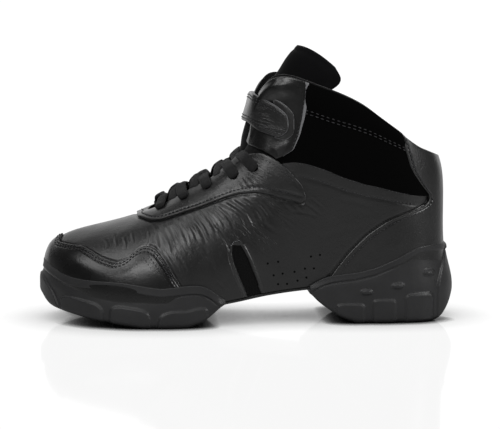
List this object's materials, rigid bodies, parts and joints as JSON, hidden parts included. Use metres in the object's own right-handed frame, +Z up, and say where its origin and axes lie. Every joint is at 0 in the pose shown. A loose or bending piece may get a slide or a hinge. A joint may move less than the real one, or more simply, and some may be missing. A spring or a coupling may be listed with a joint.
{
  "type": "dance sneaker",
  "caption": "High-top dance sneaker for the left foot with a split sole, lace-up throat, padded tongue and a hook-and-loop ankle strap.",
  "frame": {"origin": "on the floor under the middle of the shoe's bounding box", "axes": "+X from toe to heel, +Y to the medial side, +Z up; the lateral side faces -Y"},
  "size_m": [0.2811, 0.1032, 0.184],
  "materials": {
    "leather": "smooth black leather, soft sheen",
    "gloss_leather": "black leather, semi-gloss",
    "suede": "black suede, matte",
    "insole_cloth": "dark grey textile",
    "lace": "woven black lace",
    "sole_rubber": "matte black moulded sole"
  },
  "bodies": {
    "root": {"insole": "insole_cloth", "upper": "leather", "toe_cap": "gloss_leather", "counter": "leather", "eyestay": "leather", "collar_panel_lateral": "suede", "collar_panel_medial": "suede", "wing_lateral": "gloss_leather", "wing_medial": "gloss_leather", "tongue": "suede", "lace_1": "lace", "lace_2": "lace", "lace_3": "lace", "lace_4": "lace", "lace_5": "lace", "lace_6": "lace", "strap": "gloss_leather", "waist": "leather", "forefoot_sole": "sole_rubber", "heel_sole": "sole_rubber"}
  },
  "joints": []
}
